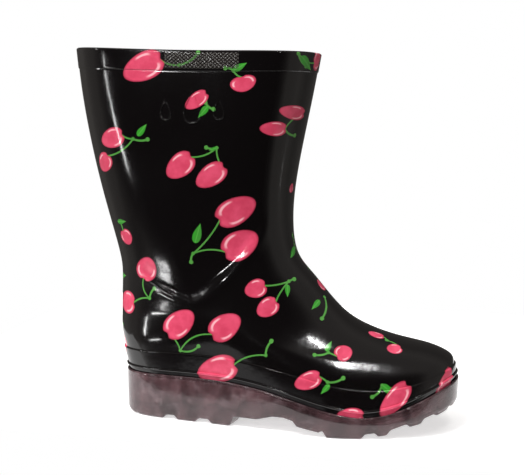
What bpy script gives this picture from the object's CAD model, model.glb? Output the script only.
"""Looks of a cherry-print rubber rain boot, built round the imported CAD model.

The boot's outer face is one smooth surface, counted in rings from the feather line up to the rim.
Every visible layer of the boot is a skin at some distance from that face. The surface is worked
out in millimetres, and each mesh is made in metres.
"""

import math

import bpy
import numpy as np
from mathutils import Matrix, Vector


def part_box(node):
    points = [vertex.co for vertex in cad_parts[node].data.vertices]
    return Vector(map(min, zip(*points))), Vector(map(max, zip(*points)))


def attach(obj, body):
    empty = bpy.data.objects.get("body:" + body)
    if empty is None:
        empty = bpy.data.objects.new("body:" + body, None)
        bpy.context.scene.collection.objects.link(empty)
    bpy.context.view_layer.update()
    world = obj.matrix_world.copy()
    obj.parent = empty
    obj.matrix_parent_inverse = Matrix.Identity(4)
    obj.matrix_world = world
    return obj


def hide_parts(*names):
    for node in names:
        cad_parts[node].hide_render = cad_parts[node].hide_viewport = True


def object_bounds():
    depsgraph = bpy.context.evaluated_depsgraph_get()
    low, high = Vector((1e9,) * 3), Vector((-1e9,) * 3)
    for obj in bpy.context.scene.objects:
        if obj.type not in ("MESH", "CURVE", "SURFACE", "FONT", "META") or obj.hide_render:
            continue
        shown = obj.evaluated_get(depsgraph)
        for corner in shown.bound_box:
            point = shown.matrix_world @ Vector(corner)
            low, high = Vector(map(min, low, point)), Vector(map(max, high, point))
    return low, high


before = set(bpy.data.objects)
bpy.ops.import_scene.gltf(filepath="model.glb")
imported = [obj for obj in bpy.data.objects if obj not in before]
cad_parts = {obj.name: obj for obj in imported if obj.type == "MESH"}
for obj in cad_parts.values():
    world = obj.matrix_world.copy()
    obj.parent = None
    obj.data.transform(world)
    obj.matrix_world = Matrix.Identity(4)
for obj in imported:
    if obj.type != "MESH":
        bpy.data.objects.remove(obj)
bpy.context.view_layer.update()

MM = 0.001
BODY = "root"

# ---------------------------------------------------------------- the boot's outer face

# One row per ring, from the feather line to the rim. The back and front points lie on the middle
# plane; heel and ball are half widths; box squares all the corners, heel_end and toe_end the ends;
# dip is how far the ring follows the curved bed of the foot; turn bends it to the right foot.
RING_KEYS = (
    "back_x", "back_z", "front_x", "front_z",
    "heel", "ball", "box", "heel_end", "toe_end", "dip", "turn",
)
RINGS = (
    (-100, 30, 138.5, 26, 34, 46.5, 0, 0.9, 0.45, 1, 1),
    (-105, 48, 138.5, 47, 35.5, 46.5, 0, 0.85, 0.45, 0.92, 1),
    (-107, 57, 133, 55, 36.5, 44.5, 0, 0.8, 0.4, 0.8, 0.9),
    (-108, 65, 120, 60, 37, 42, 0, 0.7, 0.3, 0.65, 0.75),
    (-108, 73, 100, 64, 37, 40, 0, 0.6, 0.25, 0.5, 0.55),
    (-108, 81, 77, 71, 36.5, 38.5, 0, 0.5, 0.2, 0.35, 0.35),
    (-108, 91, 56, 84, 35, 37, 0, 0.4, 0.15, 0.2, 0.2),
    (-108, 103, 36, 106, 34.5, 36, 0.05, 0.3, 0.1, 0.1, 0.1),
    (-110, 118, 23, 123, 35, 35.5, 0.15, 0.22, 0.1, 0, 0),
    (-118, 147, 19, 150, 36.5, 36.5, 0.3, 0.2, 0.15, 0, 0),
    (-128, 185, 22, 185, 39, 39, 0.4, 0.22, 0.2, 0, 0),
    (-137, 229, 30, 230, 41.5, 41, 0.45, 0.25, 0.25, 0, 0),
    (-142, 266, 36, 265, 43, 42, 0.45, 0.25, 0.25, 0, 0),
)
RIM = len(RINGS) - 1
RING_RISE = 18
BED = (31, 31, 31, 29.3, 24.5, 16.5, 11, 13, 24)
WAIST, BALL = 0.3, 0.72
TOE_TURN, ARCH_TURN = 7, 3
RIM_DROP_FROM = 10
RIM_SADDLE = 1.3
NUDGE = 1e-3


def with_ends(values):
    first = 2 * values[:1] - values[1:2]
    last = 2 * values[-1:] - values[-2:-1]
    return np.concatenate([first, values, last])


def fair_curve(values):
    """Control values of the smooth curve that passes through evenly spaced values."""
    values = np.asarray(values, float)
    control = values.copy()
    for _ in range(60):
        full = with_ends(control)
        control += values - (full[:-2] + 4 * full[1:-1] + full[2:]) / 6
    return with_ends(control)


def along(curve, at):
    at = np.asarray(at, float)
    span = np.clip(np.floor(at).astype(int), 0, len(curve) - 4)
    f = at - span
    g = 1 - f
    weights = (g**3, 3 * f**3 - 6 * f**2 + 4, -3 * f**3 + 3 * f**2 + 3 * f + 1, f**3)
    return sum(weight * curve[span + i] for i, weight in enumerate(weights)) / 6


def smoothstep(x, low, high):
    t = np.clip((np.asarray(x, float) - low) / (high - low), 0, 1)
    return t * t * (3 - 2 * t)


RING_CURVES = dict(zip(RING_KEYS, (fair_curve(column) for column in np.array(RINGS, float).T)))
BED_CURVE = fair_curve(BED)


def ring_at(height):
    return {key: along(curve, height) for key, curve in RING_CURVES.items()}


def forward_of(u):
    return (1 - np.cos(u)) / 2


def face_point(u, height):
    """The outer face. u is 0 at the back and pi at the front; 0 to pi is the outer side."""
    u, height = np.broadcast_arrays(np.asarray(u, float), np.asarray(height, float))
    ring = ring_at(height)
    forward = forward_of(u)
    fall = forward + smoothstep(height, RIM_DROP_FROM, RIM) * (forward**5 - forward)
    bed = along(BED_CURVE, forward * (len(BED) - 1)) - (BED[0] + (BED[-1] - BED[0]) * forward)
    width = ring["heel"] + (ring["ball"] - ring["heel"]) * smoothstep(forward, WAIST, BALL)
    middle = ring["turn"] * (TOE_TURN * forward**3 - ARCH_TURN * np.sin(np.pi * forward) ** 2)
    ends = ring["heel_end"] + (ring["toe_end"] - ring["heel_end"]) * forward
    square = 1 + ring["box"] * np.cos(u) ** 2 + ends * np.cos(u) ** 4
    x = ring["back_x"] + (ring["front_x"] - ring["back_x"]) * forward
    z = ring["back_z"] + (ring["front_z"] - ring["back_z"]) * fall + ring["dip"] * bed
    z = z - RIM_SADDLE * smoothstep(height, RIM_DROP_FROM, RIM) * np.sin(u) ** 4
    return np.stack([x, middle - width * np.sin(u) * square, z], -1)


def unit(vectors):
    return vectors / np.linalg.norm(vectors, axis=-1, keepdims=True)


def face_normal(u, height):
    here = face_point(u, height)
    round_it = face_point(u + NUDGE, height) - here
    up = face_point(u, height + NUDGE) - here
    return unit(np.cross(round_it, up))


def skin(u, height, out):
    """Points at a distance out from the outer face."""
    out = np.broadcast_to(out, np.broadcast(u, height).shape)
    return face_point(u, height) + face_normal(u, height) * out[..., None]


# ---------------------------------------------------------------- meshes


def even_turns(count):
    return np.arange(count) * 2 * np.pi / count


def make_object(name, points, faces, material, slot, replaced=()):
    mesh = bpy.data.meshes.new(name)
    mesh.from_pydata((np.asarray(points) * MM).tolist(), [], faces)
    mesh.validate()
    mesh.polygons.foreach_set("use_smooth", [True] * len(mesh.polygons))
    mesh.materials.append(material)
    piece = bpy.data.objects.new(name, mesh)
    bpy.context.scene.collection.objects.link(piece)
    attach(piece, BODY)
    if replaced:
        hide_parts(*replaced)
    return piece


def ring_faces(rows, size, closed):
    """Quads between rings of points, outwards when the rings climb on the outside."""
    faces = []
    for j in range(rows if closed else rows - 1):
        low, high = j * size, ((j + 1) % rows) * size
        for i in range(size):
            k = (i + 1) % size
            faces.append((low + i, low + k, high + k, high + i))
    return faces


def cap_faces(start, size, up):
    """Faces across a ring, from each point to its mirror point."""
    faces = []
    for i in range(size // 2):
        corners = [start + k % size for k in (i, i + 1, size - i - 1, size - i)]
        corners = list(dict.fromkeys(corners))
        faces.append(tuple(corners if up else corners[::-1]))
    return faces


def wall(name, rings, *looks, replaced=()):
    """A hollow wall: the rings go up the outside and down the inside, and close on themselves."""
    size = len(rings[0])
    faces = ring_faces(len(rings), size, True)
    return make_object(name, np.concatenate(rings), faces, *looks, replaced=replaced)


def slab(name, rings, *looks, replaced=()):
    """A solid: the first and the last ring are filled across."""
    size = len(rings[0])
    faces = ring_faces(len(rings), size, False)
    faces += cap_faces(0, size, False)
    faces += cap_faces((len(rings) - 1) * size, size, True)
    return make_object(name, np.concatenate(rings), faces, *looks, replaced=replaced)


# ---------------------------------------------------------------- shader nodes


class Number:
    """A shader socket that can be used in sums, so that a pattern reads as a formula."""

    def __init__(self, shader, socket):
        self.shader = shader
        self.socket = socket

    def __add__(self, other):
        return self.shader.math("ADD", self, other)

    def __sub__(self, other):
        return self.shader.math("SUBTRACT", self, other)

    def __rsub__(self, other):
        return self.shader.math("SUBTRACT", other, self)

    def __mul__(self, other):
        return self.shader.math("MULTIPLY", self, other)

    def __truediv__(self, other):
        return self.shader.math("DIVIDE", self, other)

    __radd__ = __add__
    __rmul__ = __mul__


class Shader:
    """Builds one material's nodes."""

    def __init__(self, name):
        self.material = bpy.data.materials.new(name)
        self.material.use_nodes = True
        self.tree = self.material.node_tree
        self.principled = self.tree.nodes["Principled BSDF"]

    def node(self, kind, **settings):
        node = self.tree.nodes.new(kind)
        for key, value in settings.items():
            setattr(node, key, value)
        return node

    def put(self, socket, value):
        if isinstance(value, Number):
            self.tree.links.new(value.socket, socket)
        elif isinstance(value, bpy.types.NodeSocket):
            self.tree.links.new(value, socket)
        else:
            socket.default_value = value

    def math(self, operation, *values):
        node = self.node("ShaderNodeMath", operation=operation)
        for socket, value in zip(node.inputs, values):
            self.put(socket, value)
        return Number(self, node.outputs[0])

    def step(self, value, low, high):
        """0 below low, 1 above high, smooth between."""
        node = self.node("ShaderNodeMapRange", interpolation_type="SMOOTHSTEP")
        for socket, part in zip(node.inputs, (value, low, high, 0.0, 1.0)):
            self.put(socket, part)
        return Number(self, node.outputs[0])

    def largest(self, *values):
        top = values[0]
        for value in values[1:]:
            top = self.math("MAXIMUM", top, value)
        return top

    def split(self, name):
        """The three parts of a named attribute."""
        source = self.node("ShaderNodeAttribute", attribute_name=name)
        parts = self.node("ShaderNodeSeparateXYZ")
        self.put(parts.inputs[0], source.outputs["Vector"])
        return [Number(self, socket) for socket in parts.outputs]

    def place(self):
        """Position on the object, in metres."""
        return self.node("ShaderNodeTexCoord").outputs["Object"]

    def noise(self, scale, detail=3.0, roughness=0.5, stretch=None):
        node = self.node("ShaderNodeTexNoise")
        where = self.place()
        if stretch:
            mapping = self.node("ShaderNodeMapping")
            self.put(mapping.inputs["Vector"], where)
            mapping.inputs["Scale"].default_value = stretch
            where = mapping.outputs[0]
        self.put(node.inputs["Vector"], where)
        node.inputs["Scale"].default_value = scale
        node.inputs["Detail"].default_value = detail
        node.inputs["Roughness"].default_value = roughness
        return Number(self, node.outputs[0])

    def mix(self, amount, first, second):
        node = self.node("ShaderNodeMix", data_type="RGBA")
        self.put(node.inputs[0], amount)
        for socket, colour in zip((node.inputs[6], node.inputs[7]), (first, second)):
            self.put(socket, (*colour, 1.0) if isinstance(colour, tuple) else colour)
        return node.outputs[2]

    def bump(self, height, distance, strength=1.0):
        node = self.node("ShaderNodeBump")
        node.inputs["Distance"].default_value = distance
        node.inputs["Strength"].default_value = strength
        self.put(node.inputs["Height"], height)
        self.put(self.principled.inputs["Normal"], node.outputs[0])

    def set(self, **values):
        for key, value in values.items():
            socket = key.replace("_", " ").title().replace("Ior", "IOR")
            self.put(self.principled.inputs[socket], value)


# ---------------------------------------------------------------- print

DUSTY = (0.035, 0.030, 0.026)
SCUFFED = (0.105, 0.098, 0.092)
BLACK = (0.0035, 0.0028, 0.003)
CHERRY = (0.74, 0.085, 0.165)
CHERRY_DEEP = (0.62, 0.055, 0.115)
CHERRY_RIM = (0.30, 0.012, 0.035)
SHINE = (0.95, 0.50, 0.55)
STEM = (0.05, 0.26, 0.035)
STEM_LIGHT = (0.11, 0.33, 0.07)
LEAF = (0.035, 0.30, 0.025)
LEAF_RIB = (0.14, 0.5, 0.09)
STEM_WIDTH = 0.78
KNOB_WIDTH = 1.7
PRINT_FIELDS = ("cherry_a", "cherry_b", "sizes", "joint", "twig", "leaf", "bends")


# Each sprig of the print on the outer side. Places are (turn round the ring, height in rings). A
# cherry is a place, the direction it points away from its stem (degrees, 0 is towards the toe, 90
# is up), half its length and half its width in mm. Stems run from the cherries to the joint, a
# twig leaves the joint and ends in a knob, and a leaf has a place, a direction and a length.
SPRIGS = (
    dict(
        cherries=[(1.25, 11.65, 205, 16, 9.5)],
        joint=(1.55, 11.7), twig=(1.7, 11.95), bends=(-0.1, -0.1),
    ),
    dict(
        cherries=[(2.1, 11.35, 285, 5.5, 9)],
        joint=(2.0, 11.6), twig=(1.93, 11.65), leaf=(2.0, 11.6, 30, 11),
    ),
    dict(
        cherries=[(1.7, 11.05, 215, 9.5, 5)],
        joint=(1.78, 11.0), twig=(1.85, 10.9), leaf=(1.8, 10.95, 230, 11),
    ),
    dict(
        cherries=[(2.5, 10.6, 180, 10, 5), (2.75, 10.85, 170, 12, 5)],
        joint=(2.65, 10.6), twig=(2.85, 10.5),
    ),
    dict(
        cherries=[(3.05, 11.85, 20, 8, 7)],
        joint=(2.65, 11.95), twig=(2.8, 11.7), leaf=(2.7, 11.9, 325, 15),
    ),
    dict(
        cherries=[(0.85, 10.4, 200, 10, 7), (0.65, 10.0, 235, 7.5, 6.5)],
        joint=(1.1, 10.4), twig=(1.25, 10.4), leaf=(1.15, 10.45, 50, 11), bends=(-0.1, -0.1),
    ),
    dict(
        cherries=[(1.55, 10.0, 220, 12, 8), (1.85, 9.85, 215, 12.5, 7.5)],
        joint=(1.9, 10.3), twig=(1.8, 10.3), leaf=(1.9, 10.3, 200, 6), bends=(-0.1, 0.1),
    ),
    dict(
        cherries=[(2.1, 9.15, 30, 15.5, 9.5), (2.1, 8.35, 30, 14, 10)],
        joint=(1.55, 8.1), twig=(1.5, 7.8), leaf=(1.6, 8.4, 75, 15), bends=(0.05, -0.1),
    ),
    dict(cherries=[(3.0, 9.6, 90, 3.5, 3.5)]),
    dict(
        cherries=[(0.7, 8.5, 300, 6, 5.5)],
        joint=(0.65, 8.85), leaf=(0.6, 8.85, 5, 9), bends=(-0.1, 0),
    ),
    dict(
        cherries=[(0.9, 7.4, 70, 9, 8), (0.45, 5.2, 185, 8.5, 8)],
        joint=(0.85, 5.8), twig=(0.95, 6.4), bends=(-0.2, 0.1),
    ),
    dict(
        cherries=[(2.05, 6.8, 200, 8, 6.5), (2.05, 6.2, 215, 8.5, 6.5)],
        joint=(2.5, 7.0), twig=(2.6, 7.05), leaf=(2.45, 6.9, 270, 9), bends=(-0.05, 0.05),
    ),
    dict(
        cherries=[(1.05, 3.95, 40, 14, 9), (1.45, 4.45, 35, 13, 9)],
        joint=(0.95, 1.2), twig=(1.1, 1.75), bends=(0.1, -0.15),
    ),
    dict(
        cherries=[(1.2, 0.5, 200, 16, 9.5)],
        joint=(1.55, 2.1), twig=(1.75, 4.1), bends=(0.1, 0.1),
    ),
    dict(joint=(2.9, 6.4), twig=(2.55, 5.8), leaf=(2.75, 6.35, 205, 10), bends=(0, 0.1)),
    dict(
        cherries=[(2.25, 3.9, 30, 6.5, 6)],
        joint=(2.13, 3.9), twig=(1.97, 3.5), leaf=(2.13, 4.0, 60, 9), bends=(0, 0.1),
    ),
    dict(cherries=[(2.9, 4.6, 140, 6, 4), (2.7, 3.65, 160, 5.5, 5)], joint=(2.85, 4.2)),
    dict(
        cherries=[(1.77, 1.0, 205, 10, 6)],
        joint=(1.89, 1.2), twig=(2.0, 1.7), leaf=(1.9, 1.1, 230, 9), bends=(0.05, -0.1),
    ),
    dict(
        cherries=[(2.32, 0.65, 230, 15, 7)],
        joint=(2.24, 1.3), twig=(2.16, 0.8), leaf=(2.24, 1.35, 320, 12), bends=(0.1, 0.1),
    ),
    dict(cherries=[(2.02, 0.15, 180, 9.5, 5.5)]),
    dict(cherries=[(2.82, 0.55, 55, 13, 6.5)]),
    dict(cherries=[(3.12, 6.7, 90, 5, 5)], joint=(3.25, 6.9), twig=(3.2, 7.3)),
)

# Sprigs for the rest of the boot, laid out flat in mm round the place where they are stamped
PAIR = dict(
    cherries=[(-12, -5, 208, 11.5, 7.4), (9, -9, 232, 11, 7.2)],
    joint=(4, 12), twig=(-4, 15), leaf=(4, 12, 30, 11), bends=(-0.12, 0.12),
)
SINGLE = dict(
    cherries=[(1, -4, 290, 7, 6.2)],
    joint=(-3, 9), twig=(-8, 11), leaf=(-3, 9, 15, 9), bends=(-0.1, 0.1),
)
LONG = dict(cherries=[(-8, -2, 200, 15, 9)], joint=(18, 6), twig=(24, 16), bends=(0.1, 0.1))
# Each stamp is a sprig, its place (turn, height) and the degrees it is turned by
STAMPS = (
    (LONG, 5.00, 11.35, 5), (PAIR, 4.15, 10.75, 0), (SINGLE, 5.60, 10.75, 10),
    (PAIR, 4.90, 10.05, 12), (SINGLE, 3.85, 9.35, -10), (PAIR, 4.35, 8.75, -35),
    (SINGLE, 5.45, 9.10, 20), (PAIR, 5.15, 8.05, 170), (PAIR, 4.35, 6.80, 15),
    (SINGLE, 5.45, 6.60, 0), (SINGLE, 4.80, 5.60, 30), (PAIR, 5.35, 3.60, 5),
    (SINGLE, 4.55, 3.00, 12), (PAIR, 4.00, 4.30, -20), (LONG, 5.15, 0.80, 8),
    (SINGLE, 3.60, 3.60, 0), (PAIR, 3.95, 0.80, -10), (LONG, 4.50, 0.60, -6),
    (SINGLE, 3.45, 0.80, 20), (SINGLE, 3.50, 10.60, 0), (PAIR, 3.35, 8.10, -60),
    (SINGLE, 3.65, 6.10, 25), (SINGLE, 0.10, 11.20, 5), (PAIR, 6.15, 9.75, 10),
    (SINGLE, 0.05, 8.55, -15), (SINGLE, 6.05, 7.50, 10), (PAIR, 0.00, 5.90, -20),
    (SINGLE, 6.00, 3.80, 10), (SINGLE, 0.20, 1.60, 0), (LONG, 5.95, 0.60, -4),
)
JOINT_REACH, LEAF_BASE_REACH, LEAF_TIP_REACH = 2.0, 3.0, 1.0


def frame_at(u, height):
    """Anchor, forward and up directions of the face at one place. Up is as steep as the face is."""
    anchor = face_point(u, height)
    normal = face_normal(u, height)
    up = unit(np.array([0, 0, 1.0]) - normal * normal[2])
    forward = np.cross(up, normal)
    return anchor, forward if math.sin(u) >= 0 else -forward, up


class Sprig:
    """One sprig, with its parts in mm on a flat sheet that touches the boot at the sprig's anchor."""

    def __init__(
        self, anchor, stamped=None, cherries=(), joint=None, twig=None, leaf=None, bends=(0.12, -0.12)
    ):
        self.anchor, self.forward, self.up = frame_at(*anchor)
        self.turn = stamped
        self.marks = []
        fruit = []
        for place_a, place_b, direction, length, width in cherries:
            x, y = self.flat(place_a, place_b)
            fruit.append(((x, y, self.heading(direction)), (length, width)))
            self.marks.append((x, y, max(length, width)))
        while len(fruit) < 2:
            fruit.append(((0.0, 0.0, 0.0), (0.0, 0.0)))
        start = self.flat(*joint) if joint else (0.0, 0.0)
        end = self.flat(*twig) if twig else start
        tip = (*self.flat(*leaf[:2]), self.heading(leaf[2])) if leaf else (0.0, 0.0, 0.0)
        leaf_length = leaf[3] if leaf else 0.0
        if joint:
            self.marks += [(*start, JOINT_REACH), (*end, JOINT_REACH)]
        if leaf:
            base_x, base_y, heading = tip
            tip_x = base_x + leaf_length * math.cos(heading)
            tip_y = base_y + leaf_length * math.sin(heading)
            self.marks += [(base_x, base_y, LEAF_BASE_REACH), (tip_x, tip_y, LEAF_TIP_REACH)]
        (first, first_size), (second, second_size) = fruit
        self.values = {
            "cherry_a": first,
            "cherry_b": second,
            "sizes": (*first_size, second_size[0]),
            "joint": (*start, second_size[1]),
            "twig": (*end, 1.0 if joint else 0.0),
            "leaf": tip,
            "bends": (leaf_length, *bends),
        }

    def heading(self, degrees):
        return math.radians(degrees + (self.turn or 0.0))

    def flat(self, first, second):
        """Place on the sheet: of a spot on the boot, or of a spot on a stamp, turned with it."""
        if self.turn is None:
            offset = face_point(first, second) - self.anchor
            return float(offset @ self.forward), float(offset @ self.up)
        c, n = math.cos(math.radians(self.turn)), math.sin(math.radians(self.turn))
        return first * c - second * n, first * n + second * c

    def local(self, points):
        offset = points - self.anchor
        return np.stack([offset @ self.forward, offset @ self.up], -1)

    def nearness(self, points):
        """Distance from each point to the sprig's nearest part."""
        nearest = np.full(len(points), np.inf)
        for x, y, radius in self.marks:
            place = self.anchor + self.forward * x + self.up * y
            nearest = np.minimum(nearest, np.linalg.norm(points - place, axis=1) - radius)
        return nearest


def all_sprigs():
    placed = []
    for parts in SPRIGS:
        first = parts["cherries"][0] if "cherries" in parts else parts["joint"]
        placed.append(Sprig(first[:2], **parts))
    return placed + [Sprig((u, height), turn, **parts) for parts, u, height, turn in STAMPS]


def print_on(piece, sprigs):
    """Stores, on every face, the sprig that is printed nearest to it."""
    mesh = piece.data
    corner_count = len(mesh.loops)
    points = np.zeros(len(mesh.vertices) * 3)
    mesh.vertices.foreach_get("co", points)
    points = points.reshape(-1, 3) / MM
    centres = np.zeros(len(mesh.polygons) * 3)
    mesh.polygons.foreach_get("center", centres)
    centres = centres.reshape(-1, 3) / MM
    owner = np.argmin([sprig.nearness(centres) for sprig in sprigs], axis=0)
    corner_point = np.zeros(corner_count, np.int32)
    mesh.loops.foreach_get("vertex_index", corner_point)
    sides = np.zeros(len(mesh.polygons), np.int32)
    mesh.polygons.foreach_get("loop_total", sides)
    corner_owner = np.repeat(owner, sides)
    local = np.zeros((corner_count, 3), np.float32)
    for index, sprig in enumerate(sprigs):
        mine = corner_owner == index
        local[mine, :2] = sprig.local(points[corner_point[mine]])
    sheet = mesh.attributes.new("print_place", "FLOAT_VECTOR", "CORNER")
    sheet.data.foreach_set("vector", local.ravel())
    for field in PRINT_FIELDS:
        values = np.array([sprig.values[field] for sprig in sprigs], np.float32)
        layer = mesh.attributes.new(field, "FLOAT_VECTOR", "FACE")
        layer.data.foreach_set("vector", values[owner].ravel())


def turned(s, x, y, angle):
    """x and y turned back by an angle, as along and across."""
    c = s.math("COSINE", angle)
    n = s.math("SINE", angle)
    return x * c + y * n, y * c - x * n


def cherry_masks(s, x, y, centre, length, width):
    """Body, rim and shine of one cherry: an egg with a notch where its stem leaves it."""
    along_it, across = turned(s, x - centre[0], y - centre[1], centre[2])
    p = along_it / s.math("MAXIMUM", length, 0.01)
    q = across / s.math("MAXIMUM", width, 0.01) * (1 + p * 0.16)
    notch = s.step(s.math("ABSOLUTE", q), 0.38, 0.0) * s.step(p, -0.2, -1.0) * 0.16
    radius = s.math("SQRT", p * p + q * q) + notch
    body = s.step(radius, 1.03, 0.97) * s.step(length, 0.1, 0.2)
    rim = s.step(radius, 0.86, 0.99)
    shine = 0.0
    for side, centre_p, reach in ((1, -0.36, 0.5), (-1, -0.16, 0.42)):
        band = s.step(s.math("ABSOLUTE", radius - 0.77), 0.11, 0.03)
        stretch = s.step(s.math("ABSOLUTE", p - centre_p), reach, reach * 0.45)
        shine = band * stretch * s.step(q * side, 0.1, 0.3) + shine
    return body, rim, shine


def stem_mask(s, x, y, start, end, bend, width):
    """A line from start to end that bows to one side by a share of its length."""
    dx, dy = end[0] - start[0], end[1] - start[1]
    length = s.math("MAXIMUM", s.math("SQRT", dx * dx + dy * dy), 0.01)
    px, py = x - start[0], y - start[1]
    t = (px * dx + py * dy) / (length * length)
    inside = s.math("MULTIPLY", s.step(t, -0.03, 0.02), s.step(t, 1.03, 0.98))
    across = (py * dx - px * dy) / length - t * (1 - t) * length * bend * 4
    line = s.step(s.math("ABSOLUTE", across), width, width * 0.45)
    return line * inside * s.step(length, 0.5, 1.0)


def leaf_mask(s, x, y, leaf, length):
    """A leaf that swells from its base and draws out to a tip. Returns its body and its rib."""
    along_it, across = turned(s, x - leaf[0], y - leaf[1], leaf[2])
    t = along_it / s.math("MAXIMUM", length, 0.01)
    clear = s.math("MINIMUM", s.math("MAXIMUM", t, 0.0), 1.0)
    swell = s.math("POWER", clear, 0.55) * s.math("POWER", 1 - clear, 1.15) * length * 0.62
    inside = s.step(s.math("ABSOLUTE", across), swell + 0.15, swell - 0.35)
    inside = inside * s.step(length, 0.1, 0.2) * s.step(t, -0.02, 0.03) * s.step(t, 1.02, 0.97)
    return inside, s.step(s.math("ABSOLUTE", across), 0.5, 0.1)


def notch_of(s, centre, length):
    """Where a cherry's stem leaves it."""
    reach = length * 0.8
    x, y, direction = centre
    return x - s.math("COSINE", direction) * reach, y - s.math("SINE", direction) * reach


def print_colour(s):
    x, y, _ = s.split("print_place")
    fields = {name: s.split(name) for name in PRINT_FIELDS}
    a, b = fields["cherry_a"], fields["cherry_b"]
    length_a, width_a, length_b = fields["sizes"]
    width_b = fields["joint"][2]
    joint, twig, leaf = fields["joint"], fields["twig"], fields["leaf"]
    leaf_length, bend_a, bend_b = fields["bends"]
    has_joint = twig[2]
    stem_a = stem_mask(s, x, y, notch_of(s, a, length_a), joint, bend_a, STEM_WIDTH)
    stem_a = stem_a * s.step(length_a, 0.1, 0.2)
    stem_b = stem_mask(s, x, y, notch_of(s, b, length_b), joint, bend_b, STEM_WIDTH)
    stem_b = stem_b * s.step(length_b, 0.1, 0.2)
    twig_line = stem_mask(s, x, y, joint, twig, bend_b, STEM_WIDTH * 1.25)
    kx, ky = x - twig[0], y - twig[1]
    knob = s.step(s.math("SQRT", kx * kx + ky * ky), KNOB_WIDTH, KNOB_WIDTH * 0.75)
    jx, jy = x - joint[0], y - joint[1]
    node = s.step(s.math("SQRT", jx * jx + jy * jy), 1.5, 1.0)
    stems = s.largest(stem_a, stem_b, twig_line, knob, node) * has_joint
    leaf_body, rib = leaf_mask(s, x, y, leaf, leaf_length)
    cloud = s.noise(140, 4.0)
    green = s.mix(s.step(cloud, 0.35, 0.7), LEAF, STEM)
    colour = s.mix(stems, BLACK, s.mix(cloud, STEM, STEM_LIGHT))
    colour = s.mix(leaf_body, colour, s.mix(rib * 0.45, green, LEAF_RIB))
    for centre, length, width in ((a, length_a, width_a), (b, length_b, width_b)):
        body, rim, shine = cherry_masks(s, x, y, centre, length, width)
        red = s.mix(s.step(cloud, 0.3, 0.75), CHERRY_DEEP, CHERRY)
        red = s.mix(rim * 0.55, red, CHERRY_RIM)
        red = s.mix(shine * 0.85, red, SHINE)
        colour = s.mix(body, colour, red)
    return colour


# ---------------------------------------------------------------- materials


def printed_pvc(name="printed_pvc", dotted=False):
    """Glossy black moulding with the print on it, and scuffed grey tips on the dotted panel."""
    s = Shader(name)
    smear = s.noise(22, 4.0, 0.6)
    colour = print_colour(s)
    if dotted:
        raised = s.split("raised")[0]
        scuffs = raised * (s.noise(260) * 0.6 + 0.5)
        colour = s.mix(scuffs, s.mix(0.3, colour, DUSTY), SCUFFED)
    s.set(base_color=colour, roughness=s.step(smear, 0.2, 0.9) * 0.09 + 0.07)
    s.set(ior=1.5)
    s.bump(s.noise(75, 2.0) * 0.8 + s.noise(420, 2.0) * 0.12, 0.00035, 0.35)
    return s.material


def clear_sole():
    """Smoky purple-brown translucent rubber with faint swirls and dust in it."""
    s = Shader("clear_sole")
    swirl = s.noise(48, 5.0, 0.62, stretch=(1.6, 1.6, 0.7))
    cloud = s.noise(150, 3.0)
    bubble = s.noise(420, 2.0)
    tone = s.mix(s.step(swirl, 0.4, 0.62), (0.062, 0.032, 0.036), (0.165, 0.088, 0.098))
    tone = s.mix(s.step(cloud, 0.5, 0.72) * 0.45, tone, (0.34, 0.24, 0.26))
    tone = s.mix(s.step(bubble, 0.68, 0.76) * 0.6, tone, (0.55, 0.47, 0.47))
    s.set(base_color=tone, roughness=s.step(cloud, 0.3, 0.9) * 0.12 + 0.14, ior=1.46)
    s.set(transmission_weight=0.62, coat_weight=0.2, coat_roughness=0.08)
    s.bump(s.noise(60, 3.0) * 0.7 + s.noise(480, 2.0) * 0.3, 0.0004, 0.4)
    return s.material


def knit(name, low, high, stitch):
    """Fine jersey: rows of small loops, seen as a grid of V shapes."""
    s = Shader(name)
    along_rows, up_rows, _ = s.split("cloth_place")
    column = s.math("SINE", along_rows * (2 * math.pi / stitch))
    lean = s.math("ABSOLUTE", column) * 2.2
    row = s.math("SINE", up_rows * (2 * math.pi / (stitch * 0.8)) + lean)
    loops = column * 0.4 + row * 0.6
    fuzz = s.noise(900, 3.0)
    s.set(base_color=s.mix(s.step(loops * 0.4 + fuzz, 0.1, 0.95), low, high))
    s.set(roughness=s.step(fuzz, 0.0, 1.0) * 0.15 + 0.8, sheen_weight=0.35, sheen_roughness=0.4)
    s.bump(loops * 0.5 + fuzz * 0.5, 0.0006, 0.7)
    return s.material


def fibre_board():
    s = Shader("insole_board")
    fibre = s.noise(260, 5.0, 0.65, stretch=(1.0, 3.0, 3.0))
    s.set(base_color=s.mix(fibre, (0.20, 0.14, 0.09), (0.42, 0.33, 0.24)))
    s.set(roughness=s.step(fibre, 0.2, 0.9) * 0.2 + 0.7)
    s.bump(fibre, 0.0004, 0.5)
    return s.material


def cell_foam():
    s = Shader("insole_foam")
    cells = s.node("ShaderNodeTexVoronoi")
    s.put(cells.inputs["Vector"], s.place())
    cells.inputs["Scale"].default_value = 900
    pores = s.step(Number(s, cells.outputs["Distance"]), 0.0, 0.6)
    s.set(base_color=s.mix(pores, (0.22, 0.21, 0.20), (0.50, 0.48, 0.45)))
    s.set(roughness=s.noise(300) * 0.1 + 0.85)
    s.bump(pores, 0.0003, 0.5)
    return s.material


# ---------------------------------------------------------------- pieces

AROUND = 300
COLLAR_FROM = 11.58
COLLAR_PROUD = 0.5
FOXING_TOP = 1.05
FOXING_PROUD = 1.1
WALL_IN = -2.6
LINING_IN = -4.0


def skin_rings(profile, around=AROUND):
    turns = even_turns(around)
    return [skin(turns, np.full(around, float(height)), float(out)) for height, out in profile]


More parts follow.
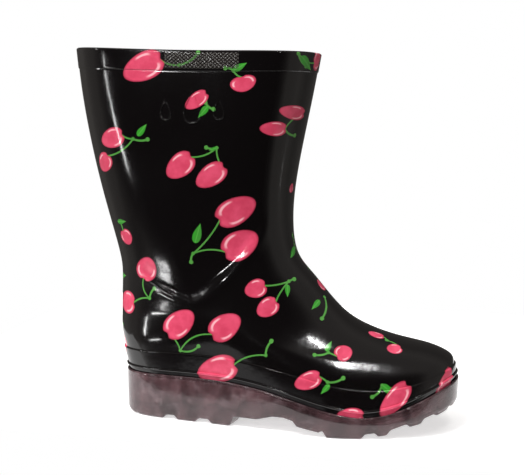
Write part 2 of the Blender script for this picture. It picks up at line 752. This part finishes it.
# The ankle fold on the outer side: a line of (turn, height) places, where the flat of the leg
# ends in a V and the foot swells out below it
FOLD = (
    (0.7, 7.2), (1.0, 6.6), (1.2, 6.15), (1.32, 6.0),
    (1.45, 6.3), (1.75, 7.1), (2.2, 8.25), (2.6, 8.95),
)
FOLD_DEPTH = 1.5
FOLD_RIDGE = 0.35


def ankle_fold(u, height):
    """How far the shell stands out, in mm, near the ankle fold."""
    line = np.array(FOLD)
    above = height - np.interp(u, line[:, 0], line[:, 1])
    sunk = smoothstep(above, -0.1, 0.3) * (1 - smoothstep(above, 0.3, 3.2))
    ridge = np.exp(-(((above + 0.16) / 0.17) ** 2))
    ends = smoothstep(u, 0.72, 1.0) * (1 - smoothstep(u, 2.25, 2.6))
    return ends * (FOLD_RIDGE * ridge - FOLD_DEPTH * sunk)


def build_upper(material):
    """The leg and foot shell, from under the foxing band to the rim, with a rolled rim edge."""
    heights = [*np.arange(0.9, 7, 0.06), *np.arange(7, 11.5, 0.04), 11.5, 11.55, 11.62]
    profile = [(height, 0.0) for height in heights] + [(11.64, -0.6), (RIM, -0.7)]
    turns = even_turns(AROUND)
    rings = [skin(turns, height, out + ankle_fold(turns, height)) for height, out in profile]
    rings += skin_rings([(height, WALL_IN) for height in [RIM, *np.arange(11.6, 0.9, -0.3), 0.9]])
    return wall("upper_leg_and_foot", rings, material, "printed_pvc", replaced=("upper_shell",))


def build_collar(material):
    """The band round the rim: a soft step at its lower edge and a rounded top."""
    edge, sunk, inside, shoulder = 0.03, -0.3, -0.75, RIM - 0.035
    profile = [(COLLAR_FROM, sunk)]
    for a in np.linspace(0.2, math.pi / 2, 6):
        height = COLLAR_FROM + edge * (1 - math.cos(a))
        profile.append((height, sunk + (COLLAR_PROUD - sunk) * math.sin(a)))
    profile += [(height, COLLAR_PROUD) for height in np.linspace(COLLAR_FROM + 0.06, shoulder, 8)]
    middle, half = (COLLAR_PROUD + WALL_IN) / 2, (COLLAR_PROUD - WALL_IN) / 2
    for a in np.linspace(0.15, math.pi - 0.15, 14):
        profile.append((shoulder + (RIM - shoulder) * math.sin(a), middle + half * math.cos(a)))
    profile += [(shoulder, WALL_IN), (RIM - 0.2, WALL_IN), (RIM - 0.2, inside), (COLLAR_FROM, inside)]
    rings = skin_rings(profile)
    return wall("collar_rim_band", rings, material, "printed_pvc", replaced=("collar_band",))


def build_foxing(material):
    """The raised band round the foot, with a rounded step at its top edge."""
    edge, inside, sunk, foot = 0.07, -0.5, -0.2, 0.02
    profile = [(foot, inside), (foot, FOXING_PROUD)]
    profile += [(height, FOXING_PROUD) for height in np.linspace(0.06, FOXING_TOP - edge, 24)]
    for a in np.linspace(0.15, math.pi / 2, 8):
        out = sunk + (FOXING_PROUD - sunk) * math.cos(a)
        profile.append((FOXING_TOP - edge + edge * math.sin(a), out))
    profile.append((FOXING_TOP, inside))
    rings = skin_rings(profile)
    return wall("foot_band", rings, material, "printed_pvc", replaced=("foxing_band",))


# How far the sole's lip laps up, in rings: along the foot, and over the toe
LIP_RINGS, TOE_LIP_RINGS, TOE_LIP_FROM = 0.11, 0.5, 0.72
LIP_IN, LIP_OUT = 1.25, 3.0
BEAD_RISE, BEAD_RADIUS, BEAD_STANDS = 0.17, 0.95, 0.35


def lip_rings(u):
    return LIP_RINGS + (TOE_LIP_RINGS - LIP_RINGS) * smoothstep(forward_of(u), TOE_LIP_FROM, 1)


def build_bead(material):
    """The bead just above the sole's lip."""
    turns = even_turns(AROUND)
    rings = []
    for angle in even_turns(12):
        rise = BEAD_RISE + BEAD_RADIUS * math.sin(angle) / RING_RISE
        out = FOXING_PROUD + BEAD_STANDS + BEAD_RADIUS * math.cos(angle)
        rings.append(skin(turns, lip_rings(turns) + rise, out))
    return wall("foot_bead", rings, material, "printed_pvc", replaced=("welt_bead",))


HEEL_BARS = ((-88, -67), (-57, -42), (-31, -16))
BALL_BARS = ((33, 50), (54, 79), (89, 96), (110, 118), (127, 134))
# The bars' lower edge, as (x, z), from behind the heel to beyond the toe
TREAD_LINE = (
    (-112, 5), (-102, 2.4), (-90, 0), (-16, 0), (-13.5, 7), (4, 7.4), (16, 11), (24, 11.2),
    (31, 9.5), (33, 6), (50, 3), (54, 0), (79, 0), (89, 1.6), (96, 2.8), (110, 8.2), (118, 10.2),
    (127, 14.5), (134, 17.2), (144, 21.5),
)
GROOVE_DEPTH = 2.8
GROOVE_EDGE = 2.2


def tread_height(x):
    line = np.array(TREAD_LINE, float)
    base = np.interp(x, line[:, 0], line[:, 1])
    bars = np.zeros_like(x)
    for low, high in HEEL_BARS + BALL_BARS:
        rise = smoothstep(x, low - GROOVE_EDGE, low + GROOVE_EDGE / 2)
        fall = smoothstep(x, high + GROOVE_EDGE, high - GROOVE_EDGE / 2)
        bars = np.maximum(bars, np.minimum(rise, fall))
    ends = np.maximum(smoothstep(x, -86, -90), smoothstep(x, 134, 137))
    arch = smoothstep(x, -16, -15) * smoothstep(x, 33, 32)
    return base + GROOVE_DEPTH * (1 - np.maximum(np.maximum(bars, ends), arch))


def build_outsole(material):
    """Heel, tread bars, side wall, lip and toe bumper in one body."""
    count = 520
    turns = even_turns(count)
    feather = face_point(turns, 0.0)
    tread = tread_height(feather[:, 0])

    def at_tread(out, rise):
        points = skin(turns, 0.0, out)
        points[:, 2] = tread + rise
        return points

    def at_feather(out, drop):
        points = skin(turns, 0.0, out)
        points[:, 2] = feather[:, 2] - drop
        return points

    def lip(out, rise):
        return skin(turns, lip_rings(turns) + rise / RING_RISE, out)

    edge_in, edge_reach, edge_rise = 0.6, 2.0, 2.2
    lip_round, bed_drop = 0.8, 0.6
    foot = at_tread(edge_in + edge_reach, edge_rise)
    bulge = at_feather(3.4, 3.0)
    rings = [at_tread(-14, 0.0), at_tread(-2, 0.0), at_tread(edge_in, 0.0)]
    for a in np.linspace(0.3, math.pi / 2, 5):
        rings.append(at_tread(edge_in + edge_reach * math.sin(a), edge_rise * (1 - math.cos(a))))
    rings += [foot + (bulge - foot) * t for t in np.linspace(0.1, 1, 10)]
    rings += [at_feather(3.3, 1.0), lip(LIP_OUT, -lip_round)]
    middle, half = (LIP_IN + LIP_OUT) / 2, (LIP_OUT - LIP_IN) / 2
    for a in np.linspace(0.25, math.pi - 0.25, 8):
        rings.append(lip(middle + half * math.cos(a), -lip_round + lip_round * math.sin(a)))
    rings += [lip(LIP_IN, -lip_round), at_feather(LIP_IN, bed_drop), at_feather(-2.0, bed_drop)]
    return slab("translucent_sole", rings, material, "clear_sole", replaced=("outsole",))


def store_on_corners(piece, name, values):
    layer = piece.data.attributes.new(name, "FLOAT_VECTOR", "CORNER")
    layer.data.foreach_set("vector", np.array(values, np.float32).ravel())


def cloth_places(piece, rings, around):
    """Millimetres round and up the cloth, for its stitches."""
    points = np.concatenate(rings).reshape(len(rings), around, 3)
    step_round = np.linalg.norm(np.diff(points, axis=1, append=points[:, :1]), axis=2)
    round_it = np.concatenate([np.zeros((len(rings), 1)), np.cumsum(step_round, axis=1)], axis=1)
    typical = round_it[len(rings) // 2]
    step_up = np.linalg.norm(np.diff(points, axis=0), axis=2).mean(axis=1)
    up = np.concatenate([[0], np.cumsum(step_up)])
    before_first = typical[around - 1] - typical[around]
    values = []
    for polygon in piece.data.polygons:
        corners = list(polygon.vertices)
        crosses_seam = min(corner % around for corner in corners) == 0
        for corner in corners:
            column = corner % around
            last = crosses_seam and column == around - 1
            values.append((before_first if last else typical[column], up[corner // around], 0))
    store_on_corners(piece, "cloth_place", values)


def build_lining(material):
    """The knitted sock, seen from the rim down into the foot."""
    around = 160
    outer = [(height, -3.2) for height in [0.4, *np.arange(0.7, 11.8, 0.3), 11.86]]
    inner = [(height, LINING_IN) for height in [*np.arange(11.8, 0.4, -0.15), 0.4]]
    rings = skin_rings(outer + [(11.9, -3.5)] + inner, around)
    piece = wall("sock_lining", rings, material, "knit_lining", replaced=("leg_and_foot_lining",))
    cloth_places(piece, rings, around)
    return piece


def build_insole(material):
    """The knitted cover of the insole, with a soft rounded edge."""
    around = 160
    turns = even_turns(around)
    side, low, high = -4.7, 0.41, 0.47
    rings = [skin(turns, low, side), skin(turns, (low + high) / 2, side + 0.1)]
    rings.append(skin(turns, high, side))
    centre = (rings[2] + rings[2][(-np.arange(around)) % around]) / 2
    rings += [rings[2] + (centre - rings[2]) * t for t in (0.03, 0.1, 0.25, 0.5, 0.75, 0.98)]
    piece = slab("insole_top_cover", rings, material, "insole_fabric", replaced=("insole_cover",))
    points = np.array([vertex.co for vertex in piece.data.vertices]) / MM
    flat = [(x, y, 0) for x, y, *_ in points]
    corners = [corner for face in piece.data.polygons for corner in face.vertices]
    store_on_corners(piece, "cloth_place", [flat[corner] for corner in corners])
    return piece


def outer_side(x, z):
    """Turn and height of the places on the outer side of the leg with these x and z."""
    height = np.full(np.shape(x), RIM - 1.0)
    for _ in range(20):
        ring = ring_at(height)
        share = 1 - 2 * (x - ring["back_x"]) / (ring["front_x"] - ring["back_x"])
        u = np.arccos(np.clip(share, -1, 1))
        here = face_point(u, height)[..., 2]
        slope = (face_point(u, height + NUDGE)[..., 2] - here) / NUDGE
        height = height + (z - here) / slope
    return u, height


PANEL_DOT_PITCH = 2.9
PANEL_DOT_RADIUS = 0.75
PANEL_DOT_HEIGHT = 0.45
PANEL_FACE = COLLAR_PROUD + 0.12
PANEL_HIGH = 13.5
PANEL_BACK = -0.2


def build_grip_panel(material):
    """The collar's dotted panel: staggered rows of small domes on a thin plate."""
    low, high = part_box("collar_grip_panel")
    x0, x1 = low.x / MM, high.x / MM
    columns, rows = 240, 64
    xs = np.linspace(x0, x1, columns)
    heights = np.linspace(COLLAR_FROM + 0.05, RIM - 0.04, rows)
    grid_x, grid_h = np.meshgrid(xs, heights)
    ring = ring_at(grid_h)
    u = np.arccos(1 - 2 * (grid_x - ring["back_x"]) / (ring["front_x"] - ring["back_x"]))
    rise = (grid_h - heights[0]) / (heights[-1] - heights[0]) * PANEL_HIGH
    run = grid_x - x0
    domes = np.zeros_like(run)
    for shift in (0.0, 0.5):
        dx = (run / PANEL_DOT_PITCH + shift) % 1 - 0.5
        dz = (rise / PANEL_DOT_PITCH + shift) % 1 - 0.5
        away = np.hypot(dx, dz) * PANEL_DOT_PITCH / PANEL_DOT_RADIUS
        domes = np.maximum(domes, np.sqrt(np.clip(1 - away**2, 0, 1)))
    edge = np.minimum.reduce([run, x1 - x0 - run, rise, PANEL_HIGH - rise])
    plate = PANEL_FACE * smoothstep(edge, -0.2, 0.5)
    out = plate + PANEL_DOT_HEIGHT * domes * smoothstep(edge, 0.9, 1.3)
    front = skin(u, grid_h, out).reshape(-1, 3)
    back = skin(u, grid_h, PANEL_BACK).reshape(-1, 3)
    faces = []
    total = columns * rows
    for j in range(rows - 1):
        for i in range(columns - 1):
            a = j * columns + i
            quad = (a, a + 1, a + columns + 1, a + columns)
            faces.append(quad)
            faces.append(tuple(total + k for k in reversed(quad)))
    border = list(range(columns))
    border += [j * columns + columns - 1 for j in range(1, rows)]
    border += [(rows - 1) * columns + i for i in range(columns - 2, -1, -1)]
    border += [j * columns for j in range(rows - 2, 0, -1)]
    for k, a in enumerate(border):
        b = border[(k + 1) % len(border)]
        faces.append((a, total + a, total + b, b))
    points = np.concatenate([front, back])
    looks = (material, "printed_pvc")
    panel = make_object("collar_dot_panel", points, faces, *looks, replaced=("collar_grip_panel",))
    raised = np.zeros((2 * total, 3), np.float32)
    raised[:total, 0] = smoothstep(domes, 0.2, 0.75).ravel()
    layer = panel.data.attributes.new("raised", "FLOAT_VECTOR", "POINT")
    layer.data.foreach_set("vector", raised.ravel())
    return panel


DROP_NODES = ("badge_drop_rear", "badge_drop_middle", "badge_drop_front")
DROP_LINE = 0.7
DROP_HEIGHT = 0.55


def build_badge_drop(node, material):
    """One raised raindrop outline, a rounded ridge on the leg."""
    low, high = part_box(node)
    centre_x, centre_z = (low.x + high.x) / 2 / MM, (low.z + high.z) / 2 / MM
    size = (high.z - low.z) / 2 / MM - DROP_LINE
    steps = 96
    angle = even_turns(steps)
    rings = []
    for a in np.linspace(0.0, 2 * math.pi, 10, endpoint=False):
        reach = size + DROP_LINE * math.cos(a)
        dx = reach * 0.75 * np.sin(angle) * np.sin(angle / 2) ** 1.6
        dz = reach * np.cos(angle)
        u, height = outer_side(centre_x + dx, centre_z + dz)
        rings.append(skin(u, height, 0.05 + DROP_HEIGHT * math.sin(a)))
    points = np.concatenate(rings)
    faces = [face[::-1] for face in ring_faces(len(rings), steps, True)]
    return make_object(node + "_ridge", points, faces, material, "printed_pvc", replaced=(node,))


def build_object():
    sprigs = all_sprigs()
    pvc = printed_pvc()
    printed = [build_upper(pvc), build_collar(pvc), build_foxing(pvc), build_bead(pvc)]
    printed.append(build_grip_panel(printed_pvc("dotted_pvc", dotted=True)))
    printed += [build_badge_drop(node, pvc) for node in DROP_NODES]
    for piece in printed:
        print_on(piece, sprigs)
    build_outsole(clear_sole())
    build_lining(knit("knit_lining", (0.010, 0.010, 0.012), (0.055, 0.055, 0.062), 1.6))
    build_insole(knit("insole_fabric", (0.016, 0.016, 0.018), (0.075, 0.075, 0.08), 1.8))
    for node, material in (("midsole_board", fibre_board()), ("insole_foam", cell_foam())):
        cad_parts[node].data.materials.clear()
        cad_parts[node].data.materials.append(material)


# ---------------------------------------------------------------- studio

CAMERA_PLACE = (0.1613, -0.7825, 0.2338)
CAMERA_AZIMUTH = math.radians(11.85)
CAMERA_PITCH = math.radians(7.25)
CAMERA_ROLL = math.radians(1.2)
LENS = 75.8


def build_camera():
    data = bpy.data.cameras.new("camera")
    data.lens = LENS
    data.clip_start = 0.05
    camera = bpy.data.objects.new("camera", data)
    camera.location = CAMERA_PLACE
    level = math.cos(CAMERA_PITCH)
    across, onward = -math.sin(CAMERA_AZIMUTH) * level, math.cos(CAMERA_AZIMUTH) * level
    look = Vector((across, onward, -math.sin(CAMERA_PITCH)))
    camera.rotation_euler = look.to_track_quat("-Z", "Y").to_euler()
    camera.rotation_euler.rotate_axis("Z", CAMERA_ROLL)
    bpy.context.scene.collection.objects.link(camera)
    bpy.context.scene.camera = camera


# Places on the boot that the lamps are aimed from, in metres
LIT_POINT = (-0.02, 0.0, 0.12)
LEG_POINT = (-0.10, -0.04, 0.215)
ANKLE_POINT = (-0.045, -0.035, 0.09)
HEEL_POINT = (-0.075, -0.03, 0.068)
INSTEP_POINT = (0.062, -0.037, 0.05)
FOXING_POINT = (-0.03, -0.045, 0.036)


def strip_light(
    name, azimuth, elevation, distance, size, power, turn=0.0, seen_from=LIT_POINT, mirrored=True
):
    """A lamp at these angles from a place on the boot. Azimuth 0 is in front (-Y), 90 is at +X."""
    data = bpy.data.lights.new(name, "AREA")
    data.shape = "RECTANGLE"
    data.size, data.size_y = size
    data.energy = power
    light = bpy.data.objects.new(name, data)
    turned_by, raised_by = math.radians(azimuth), math.radians(elevation)
    level = math.cos(raised_by)
    across, nearer = math.sin(turned_by) * level, -math.cos(turned_by) * level
    towards = Vector((across, nearer, math.sin(raised_by)))
    light.location = Vector(seen_from) + towards * distance
    light.rotation_euler = (-towards).to_track_quat("-Z", "Y").to_euler()
    light.rotation_euler.rotate_axis("Z", math.radians(turn))
    light.visible_camera = False
    light.visible_glossy = mirrored
    bpy.context.scene.collection.objects.link(light)


# Brightness of the room round the boot, from the front (0) to the back (1)
ROOM = (
    (0.0, 0.010), (0.09, 0.012), (0.15, 0.07), (0.26, 0.34), (0.6, 0.38), (0.8, 0.16), (1.0, 0.08),
)


def build_world():
    """A white backdrop to the eye. The boot itself sees a dim room, dark right in front of it."""
    world = bpy.data.worlds.new("studio")
    bpy.context.scene.world = world
    world.use_nodes = True
    nodes, links = world.node_tree.nodes, world.node_tree.links
    nodes.clear()
    where = nodes.new("ShaderNodeTexCoord")
    parts = nodes.new("ShaderNodeSeparateXYZ")
    share = nodes.new("ShaderNodeMapRange")
    share.inputs["From Min"].default_value = -1.0
    ramp = nodes.new("ShaderNodeValToRGB")
    stops = ramp.color_ramp.elements
    while len(stops) < len(ROOM):
        stops.new(0.5)
    for stop, (position, value) in zip(stops, ROOM):
        stop.position = position
        stop.color = (value, value * 0.94, value * 0.88, 1.0)
    seen = nodes.new("ShaderNodeLightPath")
    choose = nodes.new("ShaderNodeMix")
    choose.data_type = "RGBA"
    background = nodes.new("ShaderNodeBackground")
    output = nodes.new("ShaderNodeOutputWorld")
    links.new(where.outputs["Generated"], parts.inputs[0])
    links.new(parts.outputs["Y"], share.inputs[0])
    links.new(share.outputs[0], ramp.inputs[0])
    links.new(seen.outputs["Is Camera Ray"], choose.inputs[0])
    links.new(ramp.outputs[0], choose.inputs[6])
    choose.inputs[7].default_value = (1.0, 1.0, 1.0, 1.0)
    links.new(choose.outputs[2], background.inputs["Color"])
    links.new(background.outputs[0], output.inputs["Surface"])


FLOOR_X, FLOOR_FRONT, FLOOR_BACK = 0.3, -0.085, 0.45
FLOOR_GAP = 0.0002


def build_floor():
    """A white light table, with its front edge close to the boot."""
    s = Shader("studio_floor")
    pale = s.mix(s.noise(3.0, 2.0), (0.90, 0.90, 0.90), (0.93, 0.93, 0.93))
    s.set(base_color=pale, roughness=0.9, emission_color=pale, emission_strength=0.66)
    mesh = bpy.data.meshes.new("studio_floor")
    left, right, front, back = -FLOOR_X, FLOOR_X, FLOOR_FRONT, FLOOR_BACK
    corners = [(left, front, 0), (right, front, 0), (right, back, 0), (left, back, 0)]
    mesh.from_pydata(corners, [], [(0, 1, 2, 3)])
    mesh.materials.append(s.material)
    floor = bpy.data.objects.new("studio_floor", mesh)
    floor.location.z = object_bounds()[0].z - FLOOR_GAP
    bpy.context.scene.collection.objects.link(floor)


def build_studio():
    build_world()
    build_floor()
    strip_light("key", -24, 54, 1.3, (0.5, 0.5), 17, mirrored=False)
    strip_light("top_fill", 30, 84, 1.4, (1.4, 0.5), 5, mirrored=False)
    strip_light("leg_strip", -39.5, -8, 0.5, (0.010, 0.205), 0.2, turn=22, seen_from=LEG_POINT)
    strip_light("front_edge_strip", 99, -16, 1.1, (0.02, 0.12), 0.06)
    strip_light("instep_strip", 27, 52, 0.8, (0.007, 0.16), 0.7, turn=-14, seen_from=INSTEP_POINT)
    strip_light("fold_lamp", -18, 13, 1.5, (0.12, 0.05), 2.2, seen_from=ANKLE_POINT)
    strip_light("fold_lamp_high", -18, 27, 0.9, (0.06, 0.03), 0.7, seen_from=ANKLE_POINT)
    strip_light("fold_lamp_left", -55, 15, 1.5, (0.1, 0.05), 1.6, seen_from=ANKLE_POINT)
    strip_light("window_left", -49, -11, 0.1, (0.002, 0.02), 0.0075, seen_from=HEEL_POINT)
    strip_light("window_top", -38, -2, 0.1, (0.02, 0.002), 0.0075, seen_from=HEEL_POINT)
    strip_light("window_foot", -37, -23.5, 0.1, (0.016, 0.002), 0.0045, seen_from=HEEL_POINT)
    strip_light("low_card", -27, -26, 0.4, (0.5, 0.045), 0.045, seen_from=FOXING_POINT)
    bpy.context.scene.view_settings.view_transform = "Standard"


build_object()
build_camera()
build_studio()
